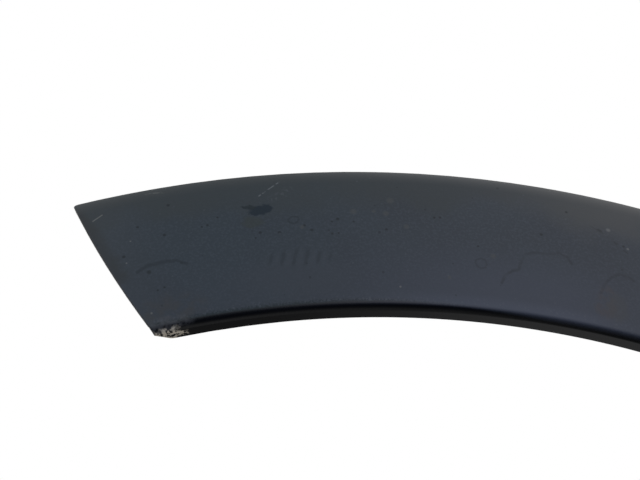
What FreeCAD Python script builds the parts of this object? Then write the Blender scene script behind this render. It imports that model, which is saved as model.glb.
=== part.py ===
import FreeCAD
import Part
import Sketcher

import math
import os

# Hood wheel-arch trim, injection-moulded in one piece.
# Frame: X along the chord of the arch, Y inboard towards the hood panel, Z up at the middle of the arch.
# The origin lies on the panel plane, midway between the two inner clip seats. Inside the body it is
# at the top of the circle on which all the clip seats lie, and the body is then raised to match.

NODE = "hood_arch_trim"
SHEET = "Dimensions"

# Driving dimensions, in millimetres and degrees.
DIMENSIONS = (
    ("arch_radius", 345.0, "radius of the wheel opening, under the return flange"),
    ("half_span_angle", 36.8, "from the middle of the arch to each end, on the clip circle"),
    ("wall", 2.2, "thickness of the moulded skin"),
    ("lip_roll_radius", 2.5, "outside radius where the face rolls into the flange"),
    ("lip_depth", 10.8, "front of the roll to the free edge of the flange"),
    ("face_lean_angle", 12.0, "lean of the face towards the panel, just above the roll"),
    ("crown_radius", 260.0, "gentle crown of the face, in section"),
    ("face_length", 54.5, "length of the crowned face, in section"),
    ("top_roll_radius", 18.0, "the upper edge turns in to the panel on this radius"),
    ("top_roll_angle", 30.0, "how far the upper edge turns in"),
    ("edge_gap", 0.5, "upper edge to the panel plane"),
    ("edge_round", 0.4, "rounding of the edges that show"),
    ("end_slant_angle", 17.1, "slant of the left end from the radial line"),
    ("end_bow_radius", 340.0, "bow of the left end"),
    ("end_top_corner", 2.0, "corner radius at the upper edge, both ends"),
    ("corner_cut_depth", 8.0, "cut corner of the flange at the left end, across the flange"),
    ("corner_cut_length", 5.5, "cut corner of the flange at the left end, along the arch"),
    ("end_flange_corner", 3.0, "radius where the cut corner meets the free edge of the flange"),
    ("clip_height", 27.0, "clip circle above the wheel opening"),
    ("clip_count", 6, "number of clip towers"),
    ("clip_pitch_angle", 12.4, "angle between clip towers"),
    ("tower_width", 22.0, "clip tower, along the arch"),
    ("tower_rise", 18.0, "clip tower, across the arch"),
    ("tower_wall", 1.6, "side walls of a clip tower"),
    ("tower_plate", 2.0, "plate of a clip tower, against the panel"),
    ("tower_base", 1.0, "pad left on the skin inside a clip tower"),
    ("seat_radius", 4.1, "round seat of a clip"),
    ("seat_neck", 5.6, "width of the slot that leads to the seat"),
    ("rib_count", 13, "number of gusset ribs"),
    ("rib_pitch_angle", 5.5, "angle between gusset ribs"),
    ("rib_thickness", 1.4, "gusset rib"),
    ("rib_reach", 5.5, "gusset rib along the flange"),
    ("rib_rise", 11.0, "gusset rib up the face"),
)

# Relative length of the edges across the wall at a corner, and how near two radii count as one.
CORNER_LENGTH_RATIOS = (0.75, 1.25)
SAME = 1e-3

# Sketcher's marks for the two ends and the centre of a curve, and for the sketch's own origin.
START, END, CENTRE = range(1, 4)
ORIGIN = (-1, START)


def cell(name):
    """The expression that reads one driving dimension."""
    return f"{SHEET}.{name}"


# Angles and places that several features share, written as expressions of the driving dimensions.
CLIP_CIRCLE = f"({cell('arch_radius')} + {cell('clip_height')})"
OVER_LENGTH = f"({cell('end_slant_angle')} / 4)"
CROWN_TURN = f"({cell('face_length')} / {cell('crown_radius')} * 180 / pi)"
FIRST_CLIP = f"({cell('clip_pitch_angle')} * ({cell('clip_count')} - 1) / 2)"
FIRST_RIB = f"({cell('rib_pitch_angle')} * ({cell('rib_count')} - 1) / 2)"
UPPER_LEAN = f"({cell('face_lean_angle')} + {CROWN_TURN})"
EDGE_LEAN = f"({UPPER_LEAN} + {cell('top_roll_angle')})"
CROWN_DEPTH = (
    f"(({cell('top_roll_radius')} - {cell('wall')}) * cos({EDGE_LEAN})"
    f" + ({cell('crown_radius')} - {cell('top_roll_radius')}) * cos({UPPER_LEAN}) - {cell('edge_gap')})"
)
CROWN_DROP = (
    f"(({cell('crown_radius')} - {cell('lip_roll_radius')}) * sin({cell('face_lean_angle')})"
    f" + {cell('clip_height')} - {cell('lip_roll_radius')})"
)
ROLL_DEPTH = (
    f"(({cell('crown_radius')} - {cell('lip_roll_radius')}) * cos({cell('face_lean_angle')}) - {CROWN_DEPTH})"
)
FREE_EDGE = f"({ROLL_DEPTH} + {cell('lip_roll_radius')} - {cell('lip_depth')})"
END_AT_FLANGE = (
    f"({cell('end_bow_radius')} * cos({cell('end_slant_angle')}) - sqrt({cell('end_bow_radius')} ^ 2"
    f" - ({cell('clip_height')} + {cell('end_bow_radius')} * sin({cell('end_slant_angle')})) ^ 2))"
)


def make_sheet(doc):
    """Puts the driving dimensions in a spreadsheet and returns it with their values."""
    sheet = doc.addObject("Spreadsheet::Sheet", SHEET)
    for row, (name, value, note) in enumerate(DIMENSIONS, start=1):
        sheet.set(f"A{row}", name)
        sheet.set(f"B{row}", str(value))
        sheet.setAlias(f"B{row}", name)
        sheet.set(f"C{row}", note)
    doc.recompute()
    return {name: float(getattr(sheet, name)) for name, _, _ in DIMENSIONS}


def polar(centre, radius, angle):
    """The point at an angle in degrees round a centre."""
    turn = math.radians(angle)
    return FreeCAD.Vector(centre.x + radius * math.cos(turn), centre.y + radius * math.sin(turn), 0)


def section_layout(d):
    """Centres and angles of the wall's section: x is inboard and y is up from the clip circle."""
    crown_turn = math.degrees(d["face_length"] / d["crown_radius"])
    angles = [270.0, 180.0 - d["face_lean_angle"]]
    angles.append(angles[-1] - crown_turn)
    angles.append(angles[-1] - d["top_roll_angle"])
    roll = FreeCAD.Vector(0, d["lip_roll_radius"] - d["clip_height"], 0)
    crown = polar(roll, d["crown_radius"] - d["lip_roll_radius"], angles[1] + 180.0)
    top = polar(crown, d["crown_radius"] - d["top_roll_radius"], angles[2])
    edge = polar(top, d["top_roll_radius"] - d["wall"], angles[3])
    shift = FreeCAD.Vector(-d["edge_gap"] - edge.x, 0, 0)
    return angles, roll + shift, crown + shift, top + shift


def origin_plane(body, role):
    """The body's own origin plane of that role."""
    return next(o for o in body.Origin.OriginFeatures if o.Role == role)


def new_sketch(body, name, role):
    """A sketch on one of the body's origin planes."""
    sketch = body.newObject("Sketcher::SketchObject", name)
    sketch.AttachmentSupport = [(origin_plane(body, role), "")]
    sketch.MapMode = "FlatFace"
    return sketch


def turn_about_arch(sketch, role, angle, radius=CLIP_CIRCLE):
    """Turns a sketch about the arch axis, to the left by that expression, on a circle of that radius."""
    along, up = f"-{radius} * sin({angle})", f"{radius} * cos({angle}) - {CLIP_CIRCLE}"
    turns = {
        "XY_Plane": (FreeCAD.Vector(0, -1, 0), {"x": along, "z": up}),
        "XZ_Plane": (FreeCAD.Vector(0, 0, 1), {"x": along, "y": up}),
        "YZ_Plane": (FreeCAD.Vector(-1, 0, 0), {"z": along, "y": up}),
    }
    axis, places = turns[role]
    sketch.AttachmentOffset = FreeCAD.Placement(FreeCAD.Vector(), FreeCAD.Rotation(axis, 1))
    for name, expression in places.items():
        sketch.setExpression(f"AttachmentOffset.Base.{name}", expression)
    sketch.setExpression("AttachmentOffset.Rotation.Angle", angle)


def line(sketch, start, end, construction=False):
    """Adds a straight edge."""
    return sketch.addGeometry(Part.LineSegment(start, end), construction)


def arc(sketch, centre, radius, start, end):
    """Adds an arc that runs anticlockwise between two angles in degrees."""
    circle = Part.Circle(centre, FreeCAD.Vector(0, 0, 1), radius)
    return sketch.addGeometry(Part.ArcOfCircle(circle, math.radians(start), math.radians(end)), False)


def tie(sketch, kind, *places):
    """Adds a constraint that has no size."""
    sketch.addConstraint(Sketcher.Constraint(kind, *places))


def size(sketch, kind, places, value, expression):
    """Adds a constraint whose size is bound to an expression."""
    number = sketch.addConstraint(Sketcher.Constraint(kind, *places, value))
    sketch.setExpression(f"Constraints[{number}]", expression)


def join(sketch, edges):
    """Joins each edge's end to the next one's start, round a closed outline."""
    for edge, following in zip(edges, edges[1:] + edges[:1]):
        tie(sketch, "Coincident", edge, END, following, START)


def arch_axis(sketch, d):
    """Adds the arch axis as a construction line and returns it."""
    reach, drop = d["lip_depth"], -d["arch_radius"] - d["clip_height"]
    axis = line(sketch, FreeCAD.Vector(-reach, drop, 0), FreeCAD.Vector(0, drop, 0), True)
    tie(sketch, "Horizontal", axis)
    size(sketch, "DistanceX", (axis, START, *ORIGIN), reach, cell("lip_depth"))
    size(sketch, "DistanceY", (axis, END, *ORIGIN), -drop, CLIP_CIRCLE)
    tie(sketch, "PointOnObject", axis, END, -2)
    return axis


def draw_section(body, d):
    """The wall's section: return flange, lip roll, crowned face and turned-in upper edge."""
    sketch = new_sketch(body, "wall_section", "YZ_Plane")
    angles, roll, crown, top = section_layout(d)
    flange_start = roll.x - d["lip_roll_radius"] + d["lip_depth"]
    axis = arch_axis(sketch, d)
    outer, inner = [], []
    for chain, inset in ((outer, 0.0), (inner, d["wall"])):
        level = roll.y - d["lip_roll_radius"] + inset
        chain.append(line(sketch, FreeCAD.Vector(flange_start, level, 0), FreeCAD.Vector(roll.x, level, 0)))
        chain.append(arc(sketch, roll, d["lip_roll_radius"] - inset, angles[1], angles[0]))
        chain.append(arc(sketch, crown, d["crown_radius"] - inset, angles[2], angles[1]))
        chain.append(arc(sketch, top, d["top_roll_radius"] - inset, angles[3], angles[2]))
        tie(sketch, "Horizontal", chain[0])
        tie(sketch, "Tangent", chain[0], END, chain[1], END)
        tie(sketch, "Tangent", chain[1], START, chain[2], END)
        tie(sketch, "Tangent", chain[2], START, chain[3], END)
    upper_end = line(
        sketch,
        polar(top, d["top_roll_radius"], angles[3]),
        polar(top, d["top_roll_radius"] - d["wall"], angles[3]),
    )
    level = roll.y - d["lip_roll_radius"]
    flange_end = line(
        sketch,
        FreeCAD.Vector(flange_start, level, 0),
        FreeCAD.Vector(flange_start, level + d["wall"], 0),
    )
    for outside, inside in zip(outer[1:], inner[1:]):
        tie(sketch, "Coincident", outside, CENTRE, inside, CENTRE)
    tie(sketch, "Coincident", upper_end, START, outer[3], START)
    tie(sketch, "Coincident", upper_end, END, inner[3], START)
    tie(sketch, "PointOnObject", outer[3], CENTRE, upper_end)
    tie(sketch, "Coincident", flange_end, START, outer[0], START)
    tie(sketch, "Coincident", flange_end, END, inner[0], START)
    tie(sketch, "Vertical", flange_end)
    radii = ("lip_roll_radius", "crown_radius", "top_roll_radius")
    for edge, name in zip(outer[1:], radii):
        size(sketch, "Radius", (edge,), d[name], cell(name))
    size(sketch, "Distance", (flange_end,), d["wall"], cell("wall"))
    turns = (f"90 + {cell('face_lean_angle')}", CROWN_TURN, cell("top_roll_angle"))
    for edge, high, low, turn in zip(outer[1:], angles, angles[1:], turns):
        size(sketch, "Angle", (edge,), math.radians(high - low), turn)
    reach = d["lip_depth"] - d["lip_roll_radius"]
    flange_reach = f"{cell('lip_depth')} - {cell('lip_roll_radius')}"
    size(sketch, "DistanceX", (outer[1], CENTRE, outer[0], START), reach, flange_reach)
    size(sketch, "DistanceX", (inner[3], START, *ORIGIN), d["edge_gap"], cell("edge_gap"))
    size(sketch, "DistanceY", (axis, START, outer[0], START), d["arch_radius"], cell("arch_radius"))
    return sketch


def build_wall(body, d):
    """Sweeps the section round the arch axis: square at the right end, over length at the left."""
    sketch = draw_section(body, d)
    wall = body.newObject("PartDesign::Revolution", "wall_sweep")
    wall.Profile = sketch
    wall.ReferenceAxis = (sketch, ["Axis0"])
    wall.Type = "TwoAngles"
    wall.setExpression("Angle", cell("half_span_angle"))
    wall.setExpression("Angle2", f"{cell('half_span_angle')} + {OVER_LENGTH}")
    return sketch


def cut_left_end(body, d):
    """Trims the left end along a slanted, bowed line."""
    sketch = new_sketch(body, "left_end_line", "XZ_Plane")
    turn_about_arch(sketch, "XZ_Plane", cell("half_span_angle"))
    bow, reach, slant = d["end_bow_radius"], d["face_length"], d["end_slant_angle"]
    centre = polar(FreeCAD.Vector(), bow, slant)
    high = math.degrees(math.asin((reach - centre.y) / bow))
    low = math.degrees(math.asin((reach + centre.y) / bow))
    end = arc(sketch, centre, bow, 180.0 - high, 180.0 + low)
    upper, lower = polar(centre, bow, 180.0 - high), polar(centre, bow, 180.0 + low)
    corners = [lower, FreeCAD.Vector(-reach, lower.y, 0), FreeCAD.Vector(-reach, upper.y, 0), upper]
    sides = [line(sketch, a, b) for a, b in zip(corners, corners[1:])]
    join(sketch, [end] + sides)
    tie(sketch, "Horizontal", sides[0])
    tie(sketch, "Vertical", sides[1])
    tie(sketch, "Horizontal", sides[2])
    tie(sketch, "PointOnObject", *ORIGIN, end)
    angle, radius = cell("end_slant_angle"), cell("end_bow_radius")
    size(sketch, "DistanceX", (*ORIGIN, end, CENTRE), centre.x, f"{radius} * cos({angle})")
    size(sketch, "DistanceY", (*ORIGIN, end, CENTRE), centre.y, f"{radius} * sin({angle})")
    size(sketch, "DistanceY", (*ORIGIN, end, START), reach, cell("face_length"))
    size(sketch, "DistanceY", (end, END, *ORIGIN), reach, cell("face_length"))
    size(sketch, "DistanceX", (sides[1], START, *ORIGIN), reach, cell("face_length"))
    cut = body.newObject("PartDesign::Pocket", "left_end_cut")
    cut.Profile = sketch
    cut.Type = "ThroughAll"
    cut.Midplane = True
    return cut


def cut_flange_corner(body, d):
    """Cuts the corner of the flange at the left end, from its free edge nearly to the roll."""
    sketch = new_sketch(body, "corner_line", "XY_Plane")
    level = f"({cell('arch_radius')} + 1.5 * {cell('wall')})"
    turn_about_arch(sketch, "XY_Plane", cell("half_span_angle"), level)
    _, roll, _, _ = section_layout(d)
    bow, slant = d["end_bow_radius"], math.radians(d["end_slant_angle"])
    drop = d["clip_height"] + bow * math.sin(slant)
    end = bow * math.cos(slant) - math.sqrt(bow ** 2 - drop ** 2)
    depth, length = d["corner_cut_depth"], d["corner_cut_length"]
    free_edge = roll.x - d["lip_roll_radius"] + d["lip_depth"]
    corner = FreeCAD.Vector(end - length / 2, free_edge + depth / 2, 0)
    outboard = corner + FreeCAD.Vector(0, -2 * depth, 0)
    inner = corner + FreeCAD.Vector(2 * length, 0, 0)
    points = [corner, outboard, inner]
    sides = [line(sketch, a, b) for a, b in zip(points, points[1:] + points[:1])]
    join(sketch, sides)
    tie(sketch, "Vertical", sides[0])
    tie(sketch, "Horizontal", sides[2])
    across, along = cell("corner_cut_depth"), cell("corner_cut_length")
    size(sketch, "DistanceX", (*ORIGIN, sides[0], START), corner.x, f"{END_AT_FLANGE} - {along} / 2")
    size(sketch, "DistanceY", (sides[0], START, *ORIGIN), -corner.y, f"{FREE_EDGE} - {across} / 2")
    size(sketch, "Distance", (sides[0],), 2 * depth, f"2 * {across}")
    size(sketch, "Distance", (sides[2],), 2 * length, f"2 * {along}")
    cut = body.newObject("PartDesign::Pocket", "corner_cut")
    cut.Profile = sketch
    cut.setExpression("Length", f"3 * {cell('wall')}")
    return cut


def arch_distance(point, d):
    """How far a point lies from the arch axis."""
    return math.hypot(point.x, point.z + d["arch_radius"] + d["clip_height"])


def add_fillet(body, name, base, edges, radius):
    """Rounds the chosen edges of a feature."""
    fillet = body.newObject("PartDesign::Fillet", name)
    fillet.Base = (base, [f"Edge{number}" for number in edges])
    fillet.setExpression("Radius", cell(radius))
    body.Document.recompute()
    return fillet


def corner_edges(shape, d, upper):
    """The edges across the wall's thickness at its ends: those of the upper edge, or of the flange."""
    low, high = (ratio * d["wall"] for ratio in CORNER_LENGTH_RATIOS)
    found = []
    for number, edge in enumerate(shape.Edges, start=1):
        above = arch_distance(edge.CenterOfMass, d) > d["arch_radius"] + d["clip_height"]
        if low < edge.Length < high and above == upper:
            found.append(number)
    return found


def shows(face, d):
    """Whether a face is one of the four that show: flange underside, roll, crown and upper roll."""
    surface = face.Surface
    if isinstance(surface, Part.Cylinder):
        return abs(surface.Radius - d["arch_radius"]) < SAME
    if isinstance(surface, Part.Toroid):
        radii = (d["lip_roll_radius"], d["crown_radius"], d["top_roll_radius"])
        return any(abs(surface.MinorRadius - radius) < SAME for radius in radii)
    return False


def outline_edges(shape, d):
    """The edges round the outline of the faces that show."""
    faces = [face for face in shape.Faces if shows(face, d)]
    found = []
    for number, edge in enumerate(shape.Edges, start=1):
        touching = sum(any(edge.isSame(other) for other in face.Edges) for face in faces)
        if touching == 1:
            found.append(number)
    return found


def round_edges(body, cut, d):
    """Rounds the corners of the outline, then the outline itself. The right end's flange stays square."""
    upper = add_fillet(body, "upper_corners", cut, corner_edges(cut.Shape, d, True), "end_top_corner")
    flange_edges = corner_edges(upper.Shape, d, False)
    places = {number: upper.Shape.Edges[number - 1].CenterOfMass for number in flange_edges}
    left = [number for number in flange_edges if places[number].x < 0]
    tip = max(left, key=lambda number: places[number].y)
    lower = add_fillet(body, "flange_corner", upper, [tip], "end_flange_corner")
    return add_fillet(body, "outline_round", lower, outline_edges(lower.Shape, d), "edge_round")


def draw_tower(body, d, name, front, inset, bottom, top):
    """An outline behind the face, on the first clip's plane: straight to the rear, crowned at the face."""
    sketch = new_sketch(body, name, "YZ_Plane")
    turn_about_arch(sketch, "YZ_Plane", FIRST_CLIP)
    _, _, crown, _ = section_layout(d)
    radius = d["crown_radius"] - inset[0]
    levels = (top[0], bottom[0])
    angles = [180.0 - math.degrees(math.asin((level - crown.y) / radius)) for level in levels]
    curve = arc(sketch, crown, radius, *angles)
    upper, lower = (polar(crown, radius, angle) for angle in angles)
    corners = [lower, FreeCAD.Vector(-front[0], lower.y, 0), FreeCAD.Vector(-front[0], upper.y, 0), upper]
    sides = [line(sketch, a, b) for a, b in zip(corners, corners[1:])]
    join(sketch, [curve] + sides)
    tie(sketch, "Horizontal", sides[0])
    tie(sketch, "Vertical", sides[1])
    tie(sketch, "Horizontal", sides[2])
    size(sketch, "DistanceX", (*ORIGIN, curve, CENTRE), crown.x, CROWN_DEPTH)
    size(sketch, "DistanceY", (curve, CENTRE, *ORIGIN), -crown.y, CROWN_DROP)
    size(sketch, "Radius", (curve,), radius, f"{cell('crown_radius')} - {inset[1]}")
    size(sketch, "DistanceY", (curve, END, *ORIGIN), -bottom[0], bottom[1])
    size(sketch, "DistanceY", (*ORIGIN, curve, START), top[0], top[1])
    if front[0]:
        size(sketch, "DistanceX", (sides[1], START, *ORIGIN), front[0], front[1])
    else:
        tie(sketch, "PointOnObject", sides[1], START, -2)
    return sketch


def pattern(body, name, originals, axis, count, pitch):
    """Repeats features round the arch axis, from the left to the right."""
    repeat = body.newObject("PartDesign::PolarPattern", name)
    repeat.Originals = originals
    repeat.Axis = axis
    repeat.setExpression("Occurrences", cell(count))
    repeat.setExpression("Angle", f"{cell(pitch)} * ({cell(count)} - 1)")
    body.Tip = repeat
    return repeat


def build_towers(body, d, axis):
    """Hollow clip towers behind the face, each with a keyhole seat in its plate."""
    half = d["tower_rise"] / 2
    half_rise = f"{cell('tower_rise')} / 2"
    middle = (d["wall"] / 2, f"{cell('wall')} / 2")
    block = draw_tower(body, d, "tower_outline", (0, ""), middle, (-half, half_rise), (half, half_rise))
    tower = body.newObject("PartDesign::Pad", "tower_block")
    tower.Profile = block
    tower.Midplane = True
    tower.setExpression("Length", cell("tower_width"))

    plate = (d["tower_plate"], cell("tower_plate"))
    pad = (d["wall"] + d["tower_base"], f"({cell('wall')} + {cell('tower_base')})")
    floor = (d["tower_wall"] - half, f"{half_rise} - {cell('tower_wall')}")
    past = (half + d["tower_wall"], f"{half_rise} + {cell('tower_wall')}")
    hollow = draw_tower(body, d, "hollow_outline", plate, pad, floor, past)
    cavity = body.newObject("PartDesign::Pocket", "tower_hollow")
    cavity.Profile = hollow
    cavity.Midplane = True
    cavity.setExpression("Length", f"{cell('tower_width')} - 2 * {cell('tower_wall')}")

    keyhole = draw_keyhole(body, d, past)
    seat = body.newObject("PartDesign::Pocket", "clip_seat")
    seat.Profile = keyhole
    seat.Midplane = True
    seat.setExpression("Length", f"3 * {cell('tower_plate')}")
    return pattern(body, "clip_towers", [tower, cavity, seat], axis, "clip_count", "clip_pitch_angle")


def draw_keyhole(body, d, past):
    """The round seat and the slot that leads to it, on the panel plane."""
    sketch = new_sketch(body, "seat_outline", "XZ_Plane")
    turn_about_arch(sketch, "XZ_Plane", FIRST_CLIP)
    radius, half = d["seat_radius"], d["seat_neck"] / 2
    lean = math.degrees(math.acos(half / radius))
    seat = arc(sketch, FreeCAD.Vector(), radius, 180.0 - lean, 360.0 + lean)
    left, right = polar(FreeCAD.Vector(), radius, 180.0 - lean), polar(FreeCAD.Vector(), radius, lean)
    corners = [right, FreeCAD.Vector(half, past[0], 0), FreeCAD.Vector(-half, past[0], 0), left]
    sides = [line(sketch, a, b) for a, b in zip(corners, corners[1:])]
    join(sketch, [seat] + sides)
    tie(sketch, "Coincident", seat, CENTRE, *ORIGIN)
    tie(sketch, "Vertical", sides[0])
    tie(sketch, "Vertical", sides[2])
    tie(sketch, "Symmetric", sides[1], START, sides[1], END, -2)
    size(sketch, "Radius", (seat,), radius, cell("seat_radius"))
    size(sketch, "DistanceX", (sides[1], END, sides[1], START), 2 * half, cell("seat_neck"))
    size(sketch, "DistanceY", (*ORIGIN, sides[1], START), past[0], past[1])
    return sketch


def build_ribs(body, d, axis):
    """Gusset ribs in the corner between the face and the flange."""
    sketch = new_sketch(body, "rib_outline", "YZ_Plane")
    turn_about_arch(sketch, "YZ_Plane", FIRST_RIB)
    _, roll, _, _ = section_layout(d)
    middle = d["wall"] / 2
    corner = FreeCAD.Vector(roll.x - d["lip_roll_radius"] + middle, middle - d["clip_height"], 0)
    on_flange = corner + FreeCAD.Vector(d["rib_reach"], 0, 0)
    lean = math.radians(d["face_lean_angle"])
    on_face = corner + FreeCAD.Vector(d["rib_rise"] * math.tan(lean), d["rib_rise"], 0)
    points = [corner, on_flange, on_face]
    sides = [line(sketch, a, b) for a, b in zip(points, points[1:] + points[:1])]
    join(sketch, sides)
    tie(sketch, "Horizontal", sides[0])
    depth = f"{ROLL_DEPTH} + {cell('lip_roll_radius')} - {cell('wall')} / 2"
    size(sketch, "DistanceX", (sides[0], START, *ORIGIN), -corner.x, depth)
    drop = f"{cell('clip_height')} - {cell('wall')} / 2"
    size(sketch, "DistanceY", (sides[0], START, *ORIGIN), -corner.y, drop)
    size(sketch, "DistanceX", (sides[0], START, sides[0], END), d["rib_reach"], cell("rib_reach"))
    size(sketch, "DistanceY", (sides[2], END, sides[2], START), d["rib_rise"], cell("rib_rise"))
    shift = f"{cell('rib_rise')} * tan({cell('face_lean_angle')})"
    size(sketch, "DistanceX", (sides[2], END, sides[2], START), on_face.x - corner.x, shift)
    rib = body.newObject("PartDesign::Pad", "gusset_rib")
    rib.Profile = sketch
    rib.Midplane = True
    rib.setExpression("Length", cell("rib_thickness"))
    return pattern(body, "gusset_ribs", [rib], axis, "rib_count", "rib_pitch_angle")


def check(doc, body):
    """Stops the build if a feature failed or the body isn't one sound solid."""
    for item in doc.Objects:
        if "Invalid" in item.State or "Error" in item.State:
            raise RuntimeError(f"{item.Name} did not build: {item.State}")
        if item.isDerivedFrom("Sketcher::SketchObject") and not item.FullyConstrained:
            raise RuntimeError(f"{item.Name} is not fully constrained")
    shape = body.Shape
    if shape.isNull() or not shape.isValid() or len(shape.Solids) != 1:
        raise RuntimeError("the body is not one sound solid")


def main():
    doc = FreeCAD.newDocument("hood_trim")
    d = make_sheet(doc)
    body = doc.addObject("PartDesign::Body", "trim_body")
    body.Label = NODE
    body.setExpression("Placement.Base.z", f"{CLIP_CIRCLE} * (1 - cos({cell('clip_pitch_angle')} / 2))")
    section = build_wall(body, d)
    axis = (section, ["Axis0"])
    cut_left_end(body, d)
    corner = cut_flange_corner(body, d)
    doc.recompute()
    round_edges(body, corner, d)
    build_towers(body, d, axis)
    doc.recompute()
    build_ribs(body, d, axis)
    doc.recompute()
    check(doc, body)
    os.makedirs("parts", exist_ok=True)
    body.Shape.exportStep(f"parts/{NODE}.step")
    box = body.Shape.optimalBoundingBox()
    print(f"{NODE}: {box.XLength:.2f} x {box.YLength:.2f} x {box.ZLength:.2f} mm,"
          f" {body.Shape.Volume / 1000:.2f} cm3")


main()
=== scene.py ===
import math

import bmesh
import bpy
from mathutils import Matrix, Vector


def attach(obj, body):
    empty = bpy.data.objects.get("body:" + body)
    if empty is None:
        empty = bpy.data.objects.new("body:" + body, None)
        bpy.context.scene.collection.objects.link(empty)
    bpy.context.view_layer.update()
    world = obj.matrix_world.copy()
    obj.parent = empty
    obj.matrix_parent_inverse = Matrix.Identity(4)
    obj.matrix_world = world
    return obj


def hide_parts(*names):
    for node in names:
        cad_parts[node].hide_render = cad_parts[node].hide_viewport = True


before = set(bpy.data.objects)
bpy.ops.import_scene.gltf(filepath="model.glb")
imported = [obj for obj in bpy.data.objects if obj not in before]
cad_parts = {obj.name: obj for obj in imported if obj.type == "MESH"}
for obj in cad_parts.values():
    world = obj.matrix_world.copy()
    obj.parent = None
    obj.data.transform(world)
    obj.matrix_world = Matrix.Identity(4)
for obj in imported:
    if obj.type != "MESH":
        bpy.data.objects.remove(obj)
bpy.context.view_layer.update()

MM = 0.001

# The section of the trim as built, in millimetres: y is inboard and r is the distance from the arch axis.
ARCH_RADIUS = 345.0
CLIP_CIRCLE = 372.0
CLIP_PITCH = math.radians(12.4)
WALL = 2.2
LIP_ROLL = 2.5
FACE_LEAN = math.radians(12.0)
CROWN = 260.0
FACE_LENGTH = 54.5
TOP_ROLL = 18.0
TOP_TURN = math.radians(30.0)
EDGE_GAP = 0.5
UPPER_LEAN = FACE_LEAN + FACE_LENGTH / CROWN
EDGE_LEAN = UPPER_LEAN + TOP_TURN
AXIS_Z = -CLIP_CIRCLE * math.cos(CLIP_PITCH / 2)
CROWN_Y = (TOP_ROLL - WALL) * math.cos(EDGE_LEAN) + (CROWN - TOP_ROLL) * math.cos(UPPER_LEAN) - EDGE_GAP
CROWN_R = ARCH_RADIUS + LIP_ROLL - (CROWN - LIP_ROLL) * math.sin(FACE_LEAN)
ROLL_Y = CROWN_Y - (CROWN - LIP_ROLL) * math.cos(FACE_LEAN)
ROLL_R = ARCH_RADIUS + LIP_ROLL
TOP_Y = CROWN_Y - (CROWN - TOP_ROLL) * math.cos(UPPER_LEAN)
TOP_R = CROWN_R + (CROWN - TOP_ROLL) * math.sin(UPPER_LEAN)

# The arcs of the outer skin's section: centre, radius, and the angles between which each one runs.
ARCS = (
    (ROLL_Y, ROLL_R, LIP_ROLL, math.pi - FACE_LEAN, 1.5 * math.pi),
    (CROWN_Y, CROWN_R, CROWN, math.pi - UPPER_LEAN, math.pi - FACE_LEAN),
    (TOP_Y, TOP_R, TOP_ROLL, math.pi - EDGE_LEAN, math.pi - UPPER_LEAN),
)
ARC_END = 1e-4
# How far from that section a corner of the CAD mesh lies at most, and the middle of one of its long edges.
ON_SKIN = 0.03
NEAR_SKIN = 1.2
# The finer mesh: its longest edge, the most that the skin turns along one, and how often edges are halved.
EDGE_LENGTH = 5.0
EDGE_TURN = math.radians(9)
HALVINGS = 5
# Corners closer than this are one corner, in metres.
MERGE = 1e-6
# The cosines of two angles. A face that turns less than the first from the skin's normal belongs to the
# skin. Elsewhere faces that meet at less than the second are shaded as one, each counting by its area.
SKIN_TURN = math.cos(math.radians(60))
SMOOTH_TURN = math.cos(math.radians(34))


def colour(code):
    """An sRGB hex code as linear red, green and blue, with full alpha."""
    parts = [int(code[i:i + 2], 16) / 255 for i in (1, 3, 5)]
    return [p / 12.92 if p <= 0.04045 else ((p + 0.055) / 1.055) ** 2.4 for p in parts] + [1.0]


def on_section(y, r, reach):
    """The nearest point of the skin's section and its normal there, or None if it is farther than reach."""
    for centre_y, centre_r, radius, low, high in ARCS:
        dy, dr = y - centre_y, r - centre_r
        away = math.hypot(dy, dr)
        turn = math.atan2(dr, dy) % math.tau
        if low - ARC_END <= turn <= high + ARC_END and abs(away - radius) < reach:
            dy, dr = dy / away, dr / away
            return centre_y + dy * radius, centre_r + dr * radius, dy, dr
    if y > ROLL_Y and abs(r - ARCH_RADIUS) < reach:
        return y, ARCH_RADIUS, 0.0, -1.0
    return None


def skin_at(point, reach):
    """The point of the outer skin nearest to a point of the mesh and the skin's normal there, or None."""
    out = Vector((point.x / MM, 0, point.z / MM - AXIS_Z))
    found = on_section(point.y / MM, out.length, reach)
    if not found:
        return None
    out.normalize()
    y, r, across, outward = found
    return (Vector((0, y, AXIS_Z)) + out * r) * MM, Vector((0, across, 0)) + out * outward


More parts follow.
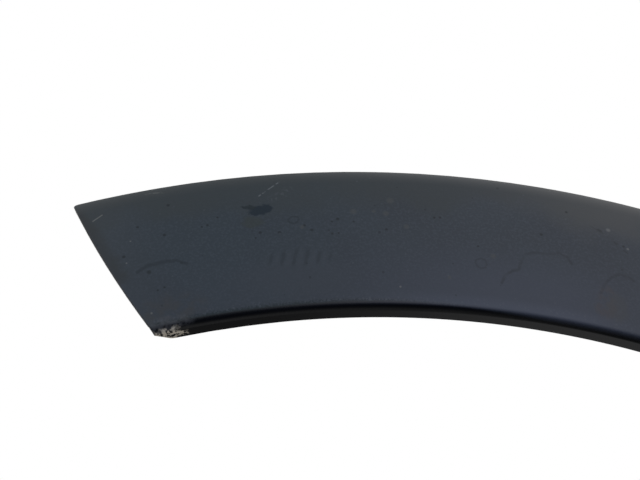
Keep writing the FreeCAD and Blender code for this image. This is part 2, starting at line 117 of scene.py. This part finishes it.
def smooth_copy(node, name):
    """A merged copy of the CAD node, with its outer skin divided finely and shaded by its exact normals."""
    mesh = node.data.copy()
    mesh.name = name
    mesh.materials.clear()
    bm = bmesh.new()
    bm.from_mesh(mesh)
    bmesh.ops.remove_doubles(bm, verts=bm.verts, dist=MERGE)
    for _ in range(HALVINGS):
        skin = {v: skin_at(v.co, ON_SKIN) for v in bm.verts}
        coarse = set()
        for face in bm.faces:
            if all(skin[v] for v in face.verts):
                for edge in face.edges:
                    turn = skin[edge.verts[0]][1].angle(skin[edge.verts[1]][1])
                    if turn > EDGE_TURN or edge.calc_length() > EDGE_LENGTH * MM:
                        coarse.add(edge)
        made = bmesh.ops.subdivide_edges(bm, edges=list(coarse), cuts=1, use_single_edge=True)
        for vert in made["geom_inner"]:
            if isinstance(vert, bmesh.types.BMVert):
                found = skin_at(vert.co, NEAR_SKIN)
                if found:
                    vert.co = found[0]
        bmesh.ops.triangulate(bm, faces=[f for f in bm.faces if len(f.verts) > 3])
    bm.to_mesh(mesh)
    bm.free()
    mesh.shade_smooth()
    facing = [face.normal.copy() for face in mesh.polygons]
    around = {}
    for face in mesh.polygons:
        for corner in face.vertices:
            around.setdefault(corner, []).append((facing[face.index], face.area))
    normals = []
    for face in mesh.polygons:
        for corner in face.vertices:
            found = skin_at(mesh.vertices[corner].co, ON_SKIN)
            if found and found[1].dot(facing[face.index]) > SKIN_TURN:
                normals.append(found[1])
                continue
            level = Vector((0, 0, 0))
            for normal, area in around[corner]:
                if normal.dot(facing[face.index]) > SMOOTH_TURN:
                    level += normal * area
            normals.append(level.normalized())
    mesh.normals_split_custom_set(normals)
    obj = bpy.data.objects.new(name, mesh)
    bpy.context.scene.collection.objects.link(obj)
    return obj


def add(tree, kind, values=None, out=0, **settings):
    """Adds a node with its settings, sets or links its inputs, and gives back one of its outputs."""
    node = tree.nodes.new(kind)
    for name, value in settings.items():
        setattr(node, name, value)
    for key, value in (values or {}).items():
        if isinstance(value, bpy.types.NodeSocket):
            tree.links.new(value, node.inputs[key])
        else:
            node.inputs[key].default_value = value
    return node.outputs[out] if out is not None else node


# Places along the face are measured on a circle of this radius.
FACE_CIRCLE = 375.0


def face_place(tree):
    """Millimetres along the arch, up the face from the wheel opening, and inboard."""
    here = add(tree, "ShaderNodeTexCoord", out="Object")
    moved = add(tree, "ShaderNodeVectorMath", {0: here, 1: (0, 0, AXIS_Z * MM)}, operation="SUBTRACT")
    in_mm = add(tree, "ShaderNodeVectorMath", {0: moved, "Scale": 1 / MM}, operation="SCALE")
    x = add(tree, "ShaderNodeSeparateXYZ", {0: in_mm})
    inboard, z = x.node.outputs["Y"], x.node.outputs["Z"]
    turn = add(tree, "ShaderNodeMath", {0: x, 1: z}, operation="ARCTAN2")
    along = add(tree, "ShaderNodeMath", {0: turn, 1: FACE_CIRCLE}, operation="MULTIPLY")
    flat = add(tree, "ShaderNodeVectorMath", {0: in_mm, 1: (1, 0, 1)}, operation="MULTIPLY")
    distance = add(tree, "ShaderNodeVectorMath", {0: flat}, "Value", operation="LENGTH")
    rise = add(tree, "ShaderNodeMath", {0: distance, 1: ARCH_RADIUS}, operation="SUBTRACT")
    return add(tree, "ShaderNodeCombineXYZ", {0: along, 1: rise, 2: inboard})


# How marks end: spots and strokes fade between these shares of their radius or width, and specks over a
# width in millimetres.
SPOT_EDGE = (1.5, 0.4)
STROKE_EDGE = (0.75, 0.1)
SPECK_EDGE = 0.25
# Farther than any place on the face, and the steps in which a ring is drawn.
FAR_AWAY = 1000.0
RING_STEPS = 8


def zone(tree, *limits, strength=1.0):
    """Where a few values are all past their limits. Each limit is a value, where the zone begins and where
    it is whole. The strength can be the mask of another pattern, which the zone then cuts."""
    for value, start, whole in limits:
        values = {"Value": value, "From Min": start, "From Max": whole, "To Max": strength}
        strength = add(tree, "ShaderNodeMapRange", values, interpolation_type="SMOOTHSTEP")
    return strength


def clouds(tree, place, size, start, whole, strength=1.0):
    """Cloudy patches of about a size in millimetres."""
    cloud = add(tree, "ShaderNodeTexNoise", {"Vector": place, "Scale": 1 / size, "Detail": 3.0})
    return zone(tree, (cloud, start, whole), strength=strength)


def patch(tree, flat, middle, size, strength=1.0, turn=0.0, soft=0.35):
    """An oval patch of the face, given by its middle, length and height, with a soft edge."""
    moved = add(tree, "ShaderNodeVectorMath", {0: flat, 1: (*middle, 0)}, operation="SUBTRACT")
    turned = add(tree, "ShaderNodeMapping", {"Vector": moved, "Rotation": (0, 0, -turn)})
    values = {0: turned, 1: (2 / size[0], 2 / size[1], 0)}
    scaled = add(tree, "ShaderNodeVectorMath", values, operation="MULTIPLY")
    reach = add(tree, "ShaderNodeVectorMath", {0: scaled}, "Value", operation="LENGTH")
    return zone(tree, (reach, 1 + soft, 1 - soft), strength=strength)


def spots(tree, flat, places, strength=1.0):
    """Round spots of the face, each given by its place along and up the face and its radius."""
    found = 0.0
    for along, rise, radius in places:
        values = {0: flat, 1: (along, rise, 0)}
        away = add(tree, "ShaderNodeVectorMath", values, "Value", operation="DISTANCE")
        spot = zone(tree, (away, SPOT_EDGE[0] * radius, SPOT_EDGE[1] * radius), strength=strength)
        found = add(tree, "ShaderNodeMath", {0: spot, 1: found}, operation="MAXIMUM")
    return found


def stroke(tree, flat, points, width, strength=1.0):
    """A line drawn through points of the face, with soft sides."""
    nearest = FAR_AWAY
    for start, end in zip(points, points[1:]):
        run = Vector((*end, 0)) - Vector((*start, 0))
        gone = add(tree, "ShaderNodeVectorMath", {0: flat, 1: (*start, 0)}, operation="SUBTRACT")
        values = {0: gone, 1: run / run.length_squared}
        share = add(tree, "ShaderNodeVectorMath", values, "Value", operation="DOT_PRODUCT")
        share = add(tree, "ShaderNodeClamp", {0: share})
        foot = add(tree, "ShaderNodeVectorMath", {0: run, "Scale": share}, operation="SCALE")
        away = add(tree, "ShaderNodeVectorMath", {0: gone, 1: foot}, "Value", operation="DISTANCE")
        nearest = add(tree, "ShaderNodeMath", {0: away, 1: nearest}, operation="MINIMUM")
    return zone(tree, (nearest, STROKE_EDGE[0] * width, STROKE_EDGE[1] * width), strength=strength)


def ring(middle, length, height):
    """Points round an oval, for a stroke."""
    steps = [math.tau * i / RING_STEPS for i in range(RING_STEPS + 1)]
    return [(middle[0] + length / 2 * math.cos(a), middle[1] + height / 2 * math.sin(a)) for a in steps]


def specks(tree, flat, spacing, radius, share, strength=1.0):
    """Specks of mixed sizes strewn over the face, in a share of the places that are so far apart."""
    values = {"Vector": flat, "Scale": 1 / spacing}
    away = add(tree, "ShaderNodeTexVoronoi", values, "Distance", voronoi_dimensions="2D")
    chance = add(tree, "ShaderNodeSeparateColor", {0: away.node.outputs["Color"]})
    values = {"Value": chance, "From Min": 1 - share, "From Max": 1.0, "To Max": radius / spacing}
    size = add(tree, "ShaderNodeMapRange", values)
    inside = add(tree, "ShaderNodeMath", {0: size, 1: away}, operation="SUBTRACT")
    return zone(tree, (inside, 0.0, SPECK_EDGE / spacing), strength=strength)


# The marks on the face: places along and up the face, in millimetres. First the lines.
WAVY_EDGE = ((-231.7, 24.4), (-228.6, 26.1), (-224.0, 26.4), (-220.8, 26.8), (-217.9, 26.3), (-214.3, 24.2))
FIRST_TIDE = (
    (-99.9, 12.8), (-98.5, 16.4), (-96.0, 18.7), (-93.6, 19.4), (-92.5, 22.4), (-91.4, 26.5),
    (-87.8, 27.8), (-82.9, 27.7), (-78.0, 29.2), (-75.2, 28.0), (-73.4, 25.8),
)
SECOND_TIDE = ((-62.7, 16.0), (-61.1, 20.2), (-58.3, 23.4), (-55.0, 25.5), (-51.7, 25.2), (-50.0, 23.7))
FINE_SCRATCH = ((-185.4, 50.2), (-182.6, 52.4), (-177.6, 56.4))
END_SCRATCH = ((-243.2, 50.8), (-239.8, 52.7))
TOP_SCRATCH = ((-224.3, 58.9), (-221.4, 58.8), (-217.7, 58.0))
SCUFF = ((-65.4, 45.2), (-60.6, 42.6), (-57.0, 39.4), (-52.6, 36.2))
# Painted shade along the slanted end of the face.
END_SHADE = ((-249, 57), (-238, 24))
DROP_RING = ring((-107.5, 20.1), 4.2, 4.0)
STAIN_RING = ring((-174.6, 37.8), 4.0, 2.8)
# The patches: middle, length and height.
CORNER_DIRT = ((-222, 7.5), (24, 11))
CORNER_DUST = ((-225, 2.6), (16, 5))
LOW_HAZE = ((-176, 14), (38, 13))
OLIVE_STAIN = ((-189.2, 38.2), (8, 5))
DARK_STAIN = ((-185.4, 43.6), (8.0, 5.0))
STAIN_TAIL = ((-190.0, 45.5), (6, 1.6))
BROWN_STAIN = ((-60.5, 12), (8, 14))
GREY_STAIN = ((-56, 11), (8, 12))
RUBBED_DUST = ((-177.5, 50.5), (9, 4))
RIPPLED = ((-174.5, 21.4), (25, 6.5))
RIPPLE_START = -195.4
RIPPLE_PITCH = 4.37
RIPPLE_LEAN = 0.3
# The scraped corner of the lip: middle, length and depth along and inboard, how low on the roll it begins
# and is whole, and the size of its chips.
SCRAPED = ((-225.0, -19.5), (12.5, 14))
SCRAPED_BELOW = (1.7, 0.4)
CHIP_SIZE = 1.3
# The spots: place and radius.
PALE_SPOTS = (
    (-152.7, 40.6, 1.2), (-141.1, 39.8, 1.1), (-145.4, 40.7, 0.7), (-139.0, 45.9, 1.3), (-134.1, 34.0, 1.0),
    (-171.8, 34.3, 0.8), (-102.8, 23.8, 1.0), (-119.6, 13.1, 0.7),
)
PALE_DOTS = (
    (-138.3, 8.5, 0.4), (-59.4, 44.9, 0.8), (-52.3, 37.9, 0.5), (-232.1, 38.1, 0.3), (-234.9, 29.2, 0.3),
    (-229.8, 7.6, 0.4),
)
DARK_SPECKS = (
    (-227.9, 23.6, 0.8), (-217.1, 51.3, 0.6), (-228.8, 43.7, 0.5), (-220.2, 38.0, 0.6), (-235.4, 32.1, 0.6),
    (-206.9, 38.9, 0.4), (-204.9, 39.3, 0.5), (-201.0, 42.2, 0.4), (-226.1, 15.8, 0.4), (-223.6, 16.4, 0.4),
    (-170.9, 35.0, 0.5), (-168.5, 32.8, 0.6), (-180.1, 32.6, 0.6), (-186.9, 33.3, 0.6), (-188.8, 31.1, 0.4),
    (-158.7, 37.3, 0.6), (-160.9, 36.2, 0.4), (-161.3, 30.8, 0.5), (-159.0, 31.0, 0.4), (-153.1, 36.0, 0.4),
    (-141.5, 32.5, 0.5), (-123.6, 38.8, 0.5), (-121.5, 39.0, 0.5), (-84.5, 36.5, 0.6), (-108.3, 27.4, 0.4),
    (-74.6, 49.6, 0.5), (-53.9, 38.7, 0.5),
)
# The moulded grain is about 0.3 mm wide. It is drawn three times as coarse, so that it shows.
GRAIN_WIDTH = 0.3
GRAIN_DRAWN = 3 * GRAIN_WIDTH
GRAIN_DEPTH = 0.1
# The weathered film: the size of its clouds, how high above the lip it begins and is whole, how much lower
# it begins at the right, and how far the grain roughens that edge at the left.
FILM_CLOUDS = 34.0
FILM_EDGE = (2.7, 4.6)
FILM_SINKS = 2.5
FILM_ROUGH = 2.0
# The sizes of the noise that bends outlines and of the noise that the chalky top follows, and how far
# patches, lines, the scraped corner and the chalky top wander by them.
SWAY_SIZE = 4.0
WANDER_SIZE = 25.0
PATCHES_SWAY = (5, 5, 0)
LINES_SWAY = (1.6, 1.6, 0)
SCRAPED_SWAYS = (6, 14, 0)
TOP_WANDERS = 30.0
# How far the surface's normal points to the front where the outside begins and is whole.
OUTSIDE = (-0.1, -0.3)


def plastic():
    """Black polypropylene, moulded with a fine grain. Weather has left it dull and grey, with a bluish tint
    that is painted reflection of the sky, a chalky layer along the top, dried water marks, specks and scuffs,
    and a corner scraped pale."""
    mat = bpy.data.materials.new("aged_black_polypropylene")
    mat.use_nodes = True
    tree = mat.node_tree
    shader = tree.nodes["Principled BSDF"]
    shader.inputs["IOR"].default_value = 1.5
    place = face_place(tree)
    along = add(tree, "ShaderNodeSeparateXYZ", {0: place})
    rise, inboard = along.node.outputs["Y"], along.node.outputs["Z"]
    flat = add(tree, "ShaderNodeVectorMath", {0: place, 1: (1, 1, 0)}, operation="MULTIPLY")
    lip = add(tree, "ShaderNodeCombineXYZ", {0: along, 1: inboard})
    normal = add(tree, "ShaderNodeTexCoord", out="Normal")
    facing = add(tree, "ShaderNodeSeparateXYZ", {0: normal}, "Y")

    values = {"Vector": place, "Scale": 1 / SWAY_SIZE, "Detail": 3.0}
    sway = add(tree, "ShaderNodeTexNoise", values, "Color")
    sway = add(tree, "ShaderNodeVectorMath", {0: sway, 1: (0.5, 0.5, 0.5)}, operation="SUBTRACT")
    ragged, swayed, scraped = [
        add(tree, "ShaderNodeVectorMath", {0: sway, 1: reach, 2: start}, operation="MULTIPLY_ADD")
        for reach, start in ((PATCHES_SWAY, flat), (LINES_SWAY, flat), (SCRAPED_SWAYS, lip))
    ]
    wander = add(tree, "ShaderNodeTexNoise", {"Vector": place, "Scale": 1 / WANDER_SIZE, "Detail": 3.0})
    top = add(tree, "ShaderNodeMath", {0: wander, 1: TOP_WANDERS, 2: rise}, operation="MULTIPLY_ADD")

    values = {0: flat, 1: (1, -RIPPLE_LEAN, 0)}
    wave = add(tree, "ShaderNodeVectorMath", values, "Value", operation="DOT_PRODUCT")
    wave = add(tree, "ShaderNodeMath", {0: wave, 1: RIPPLE_START}, operation="SUBTRACT")
    wave = add(tree, "ShaderNodeMath", {0: wave, 1: math.tau / RIPPLE_PITCH}, operation="MULTIPLY")
    wave = add(tree, "ShaderNodeMath", {0: wave}, operation="COSINE")

    grain = add(tree, "ShaderNodeTexNoise", {"Vector": place, "Scale": 1 / GRAIN_DRAWN, "Detail": 2.0})
    uneven = add(tree, "ShaderNodeMath", {0: grain, 1: 0.5}, operation="SUBTRACT")
    sunk = zone(tree, (along, -155, -75), strength=FILM_SINKS)
    above = add(tree, "ShaderNodeMath", {0: rise, 1: sunk}, operation="ADD")
    values = {0: uneven, 1: zone(tree, (along, -100, -150), strength=FILM_ROUGH), 2: above}
    above = add(tree, "ShaderNodeMath", values, operation="MULTIPLY_ADD")
    filmed = (above, *FILM_EDGE)
    # Weathered grey in clouds, with a bluish tint that is painted reflection of the sky.
    values = {0: clouds(tree, place, FILM_CLOUDS, 0.35, 0.65), 6: colour("#32363d"), 7: colour("#353b42")}
    film_and_sky_reflection = add(tree, "ShaderNodeMix", values, 2, data_type="RGBA")
    lower_right = ((along, -175, -100), (along, -35, -80))
    first_tide = stroke(tree, swayed, FIRST_TIDE, 1.3, 0.5)
    second_tide = stroke(tree, swayed, SECOND_TIDE, 1.3, 0.45)
    worn = specks(tree, flat, 1.2, 0.6, 0.7, 0.25)

    # Each layer is a mask, a colour and, where it is duller or smoother than the rest, a roughness.
    layers = (
        # The weathered layer, its bluish tint painted reflection of the sky, and its grain. It is painted
        # paler low on
        # the face, most of all at the lower right: painted reflection of the sky there.
        (zone(tree, filmed), film_and_sky_reflection, 0.38),
        (zone(tree, filmed, (grain, 0.42, 0.72), strength=0.3), "#50555e", None),
        # Painted reflection of the sky: paler low on the face, most of all at the lower right.
        (zone(tree, filmed, (rise, 30, 6), strength=0.3), "#40444f", None),
        (zone(tree, filmed, *lower_right, (rise, 34, 8), strength=0.6), "#464a57", None),
        # The greyer left end, the chalky top, which is paler at the right, and painted shade, brownish, along
        # the slanted end.
        (zone(tree, (along, -216, -246), strength=0.4), "#46494d", None),
        (zone(tree, (top, 56, 70), strength=0.8), "#393c3c", 0.44),
        (zone(tree, (along, -120, -50), (top, 50, 68), strength=0.8), "#565451", 0.5),
        (stroke(tree, ragged, END_SHADE, 6, 0.7), "#343230", None),
        # Dirt and dust at the lower left corner.
        (clouds(tree, place, 4.0, 0.3, 0.7, patch(tree, ragged, *CORNER_DIRT, 0.5)), "#46413c", 0.5),
        (clouds(tree, place, 1.5, 0.3, 0.6, patch(tree, ragged, *CORNER_DUST, 0.7)), "#55565a", 0.6),
        # Haze low on the face, and above it the dried ripple, with dark and pale lines.
        (patch(tree, ragged, *LOW_HAZE, 0.5, soft=0.5), "#3e4148", None),
        (zone(tree, (wave, 0.2, 1.0), strength=patch(tree, flat, *RIPPLED, 0.5)), "#23272c", None),
        (zone(tree, (wave, 0.2, -1.0), strength=patch(tree, flat, *RIPPLED, 0.4)), "#42464c", None),
        # Stains.
        (patch(tree, ragged, *OLIVE_STAIN, 0.55), "#38392f", None),
        (patch(tree, ragged, *DARK_STAIN, turn=0.15, soft=0.2), "#081222", 0.3),
        (patch(tree, ragged, *STAIN_TAIL, 0.8, soft=0.3), "#070a10", 0.3),
        (clouds(tree, place, 3.0, 0.35, 0.6, patch(tree, ragged, *BROWN_STAIN, 0.5)), "#4c403c", None),
        (patch(tree, ragged, *GREY_STAIN, 0.45), "#454341", None),
        # The outlines that water left as it dried, broken in places, and a scuff.
        (stroke(tree, swayed, WAVY_EDGE, 1.6, 0.5), "#14171e", None),
        (clouds(tree, place, 7.0, 0.25, 0.6, first_tide), "#181b20", None),
        (clouds(tree, place, 7.0, 0.25, 0.6, second_tide), "#181b20", None),
        (stroke(tree, swayed, DROP_RING, 0.9, 0.35), "#181b20", None),
        (stroke(tree, swayed, STAIN_RING, 0.8, 0.5), "#181b20", None),
        (clouds(tree, place, 3.0, 0.4, 0.6, stroke(tree, flat, SCUFF, 1.4, 0.6)), "#1c1b1c", None),
        # Specks and spots.
        (specks(tree, flat, 9.0, 0.7, 0.3, 0.5), "#15171b", None),
        (spots(tree, flat, DARK_SPECKS, 0.8), "#0c0d10", None),
        (spots(tree, flat, PALE_SPOTS, 0.45), "#55534d", 0.5),
        (spots(tree, flat, PALE_DOTS, 0.7), "#7c7a76", 0.5),
        (specks(tree, flat, 5.0, 0.5, 0.25, 0.3), "#5a5d62", None),
        # The edge above the roll: a painted highlight at the lower right, where it reflects the sky, and wear
        # pale in specks all along.
        (zone(tree, *lower_right, (rise, 1.4, 2.8), (rise, 8, 3), strength=0.35), "#5d6272", None),
        (zone(tree, (rise, 2.8, 3.4), (rise, 6.5, 3.8), strength=worn), "#62676f", 0.5),
        # Scratches, most of them broken, and the dust rubbed out of one.
        (clouds(tree, place, 1.5, 0.5, 0.6, patch(tree, ragged, *RUBBED_DUST, 0.3, 0.6)), "#606265", None),
        (clouds(tree, place, 2.0, 0.4, 0.55, stroke(tree, flat, FINE_SCRATCH, 0.5, 0.6)), "#8b8c8c", None),
        (stroke(tree, flat, END_SCRATCH, 0.5, 0.7), "#85827a", None),
        (clouds(tree, place, 2.0, 0.4, 0.55, stroke(tree, flat, TOP_SCRATCH, 0.6, 0.5)), "#85827a", None),
    )
    # The lip, and the roll above it, are still black and a little shiny. The unseen side is matt from the
    # mould, and is painted paler than the lip, as painted light, so that it shows.
    behind = zone(tree, (facing, *reversed(OUTSIDE)), (rise, 1.0, 2.2))
    values = {0: behind, 6: colour("#141518"), 7: colour("#2a2c30")}
    tone = add(tree, "ShaderNodeMix", values, 2, data_type="RGBA")
    dull = add(tree, "ShaderNodeMix", {0: behind, 2: 0.18, 3: 0.5})
    for mask, tint, roughness in layers:
        mask = zone(tree, (facing, *OUTSIDE), strength=mask)
        tint = colour(tint) if isinstance(tint, str) else tint
        tone = add(tree, "ShaderNodeMix", {0: mask, 6: tone, 7: tint}, 2, data_type="RGBA")
        if roughness:
            dull = add(tree, "ShaderNodeMix", {0: mask, 2: dull, 3: roughness})
    # The scraped corner comes last, because it also lies on the lip. Its chips are drawn out inboard.
    low = add(tree, "ShaderNodeSeparateXYZ", {0: ragged}, "Y")
    scraped = patch(tree, scraped, *SCRAPED, turn=-0.6, soft=0.2)
    scraped = zone(tree, (low, *SCRAPED_BELOW), strength=scraped)
    drawn_out = add(tree, "ShaderNodeVectorMath", {0: place, 1: (1, 1, 0.4)}, operation="MULTIPLY")
    chips = clouds(tree, drawn_out, CHIP_SIZE, 0.42, 0.54, scraped)
    tone = add(tree, "ShaderNodeMix", {0: chips, 6: tone, 7: colour("#fff4e0")}, 2, data_type="RGBA")
    dull = add(tree, "ShaderNodeMix", {0: chips, 2: dull, 3: 0.8})
    bump = add(tree, "ShaderNodeBump", {"Height": grain, "Strength": 0.12, "Distance": GRAIN_DEPTH * MM})
    tree.links.new(tone, shader.inputs["Base Color"])
    tree.links.new(dull, shader.inputs["Roughness"])
    tree.links.new(bump, shader.inputs["Normal"])
    return mat


trim = smooth_copy(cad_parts["hood_arch_trim"], "hood_arch_trim_skin")
trim.data.materials.append(plastic())
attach(trim, "root")
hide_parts("hood_arch_trim")

# A plain pale floor, where the ground is under the wheel, in matt paint that shows no shine and looks evenly
# lit. It is seen by the camera only, and only from above. Its radius is in metres.
FLOOR_RADIUS = 12.0
FLOOR_SIDES = 96
FLOOR_BELOW_AXIS = 330.0
bm = bmesh.new()
bmesh.ops.create_circle(bm, cap_ends=True, segments=FLOOR_SIDES, radius=FLOOR_RADIUS)
bmesh.ops.translate(bm, verts=bm.verts, vec=(0, 0, (AXIS_Z - FLOOR_BELOW_AXIS) * MM))
floor_mesh = bpy.data.meshes.new("floor")
bm.to_mesh(floor_mesh)
bm.free()
floor = bpy.data.objects.new("floor", floor_mesh)
floor.visible_diffuse = floor.visible_glossy = floor.visible_shadow = False
bpy.context.scene.collection.objects.link(floor)
paint = bpy.data.materials.new("pale_matt_floor_paint")
paint.use_nodes = True
paint.node_tree.nodes.clear()
values = {
    "Base Color": colour("#ecece9"), "Roughness": 0.9,
    "Emission Color": colour("#ffffff"), "Emission Strength": 0.3,
}
matt = add(paint.node_tree, "ShaderNodeBsdfPrincipled", values)
clear = add(paint.node_tree, "ShaderNodeBsdfTransparent")
below = add(paint.node_tree, "ShaderNodeNewGeometry", out="Backfacing")
surface = add(paint.node_tree, "ShaderNodeMixShader", {0: below, 1: matt, 2: clear})
add(paint.node_tree, "ShaderNodeOutputMaterial", {"Surface": surface}, None)
floor_mesh.materials.append(paint)

# The camera, fitted to the outline in the photograph, in millimetres from the arch axis. VIEW_TURN is how
# far round the arch the middle of the picture lies.
VIEW_TURN = math.radians(-20.45)
CAMERA_PLACE = Vector((-140.854, -351.246, 209.236))
CAMERA_RIGHT = Vector((0.931255, -0.083050, 0.354776))
CAMERA_UP = Vector((-0.360465, -0.352099, 0.863766))
SENSOR_WIDTH = 36.0
FOCAL_LENGTH = 56.25
NEAREST_SEEN = 10.0
pose = Matrix((CAMERA_RIGHT, CAMERA_UP, CAMERA_RIGHT.cross(CAMERA_UP))).transposed().to_4x4()
pose.translation = (CAMERA_PLACE + Vector((0, 0, AXIS_Z))) * MM
camera = bpy.data.objects.new("camera", bpy.data.cameras.new("camera"))
camera.data.sensor_width = SENSOR_WIDTH
camera.data.lens = FOCAL_LENGTH
camera.data.clip_start = NEAREST_SEEN * MM
camera.matrix_world = pose
bpy.context.scene.collection.objects.link(camera)
bpy.context.scene.camera = camera
bpy.context.scene.view_settings.view_transform = "Standard"

# White paper behind, seen by the camera only. The part is lit by a room: pale and bluish above and in front,
# pale behind above, dark in front below, with a pale wall at the far left and more light from the right. Each
# row is an angle in degrees round the arch's length, from straight down over the front, with the colours at
# the far left, the left and the right.
ROOM = (
    (-90, "#e4e4e4", "#141414", "#989898"),
    (-72, "#808080", "#0c0c0c", "#6c6c6e"),
    (-55, "#303030", "#080809", "#484a50"),
    (-40, "#303234", "#060607", "#282c38"),
    (-26, "#303438", "#060708", "#202c4c"),
    (-12, "#484c50", "#040506", "#7c86a4"),
    (8, "#8c949c", "#363d45", "#c8cee4"),
    (24, "#c4ccd4", "#a4b0be", "#f0f2ff"),
    (38, "#e0e4ec", "#b6cede", "#f0f3ff"),
    (52, "#e0e4ec", "#a8c4d6", "#e4e9f7"),
    (70, "#dcdee4", "#98b2be", "#ccd3dc"),
    (85, "#d8d8dc", "#94a2a6", "#c8ccd0"),
    (100, "#bec2c4", "#969c9e", "#d2d2d4"),
    (130, "#b4b6b8", "#909494", "#cccccc"),
    (145, "#e8e8e8", "#e0e0e0", "#ececec"),
    (160, "#e8e8e8", "#d8d8d8", "#e4e4e4"),
    (174, "#d0d0d0", "#404040", "#787878"),
    (185, "#b0b0b0", "#2a2a2a", "#646464"),
    (201, "#c0c0c0", "#2a2a2a", "#666666"),
    (235, "#e4e4e4", "#202020", "#909090"),
    (270, "#e4e4e4", "#141414", "#989898"),
)
# Across the room, from -1 to 1: where the left takes over from the far left, and the right from the left.
# Below the horizon both lie farther to the right.
LEFT_BEGINS = (-0.48, -0.2)
RIGHT_BEGINS = (0.0, 0.16)
HORIZON = (0.1, -0.15)
LOW_SHIFT = -0.1
world = bpy.data.worlds.new("room")
world.use_nodes = True
bpy.context.scene.world = world
sky = world.node_tree
sky.nodes.clear()
heading = add(sky, "ShaderNodeTexCoord", out="Generated")
values = {"Vector": heading, "Axis": (0, 1, 0), "Angle": -VIEW_TURN}
level = add(sky, "ShaderNodeVectorRotate", values, rotation_type="AXIS_ANGLE")
across = add(sky, "ShaderNodeSeparateXYZ", {0: level})
inward, upward = across.node.outputs["Y"], across.node.outputs["Z"]
forward = add(sky, "ShaderNodeMath", {0: inward, 1: -1.0}, operation="MULTIPLY")
# The angle of a direction, as a share of the whole turn that begins straight down.
height = add(sky, "ShaderNodeMath", {0: upward, 1: forward}, operation="ARCTAN2")
height = add(sky, "ShaderNodeMath", {0: height, 1: math.tau * 5 / 4}, operation="ADD")
height = add(sky, "ShaderNodeMath", {0: height, 1: math.tau}, operation="MODULO")
height = add(sky, "ShaderNodeMath", {0: height, 1: math.tau}, operation="DIVIDE")
angles, *sides = zip(*ROOM)
ramps = []
for codes in sides:
    ramp = add(sky, "ShaderNodeValToRGB", {0: height})
    stops = ramp.node.color_ramp.elements
    while len(stops) < len(ROOM):
        stops.new(0.5)
    for stop, angle, code in zip(stops, angles, codes):
        stop.position = (angle - angles[0]) / 360
        stop.color = colour(code)
    ramps.append(ramp)
shift = zone(sky, (upward, *HORIZON), strength=LOW_SHIFT)
across = add(sky, "ShaderNodeMath", {0: across, 1: shift}, operation="ADD")
light = ramps[0]
for ramp, begins in zip(ramps[1:], (LEFT_BEGINS, RIGHT_BEGINS)):
    values = {0: zone(sky, (across, *begins)), 6: light, 7: ramp}
    light = add(sky, "ShaderNodeMix", values, 2, data_type="RGBA")
room = add(sky, "ShaderNodeBackground", {"Color": light})
paper = add(sky, "ShaderNodeBackground", {"Color": colour("#ffffff")})
seen = add(sky, "ShaderNodeLightPath", out="Is Camera Ray")
surface = add(sky, "ShaderNodeMixShader", {0: seen, 1: room, 2: paper})
add(sky, "ShaderNodeOutputWorld", {"Surface": surface}, None)
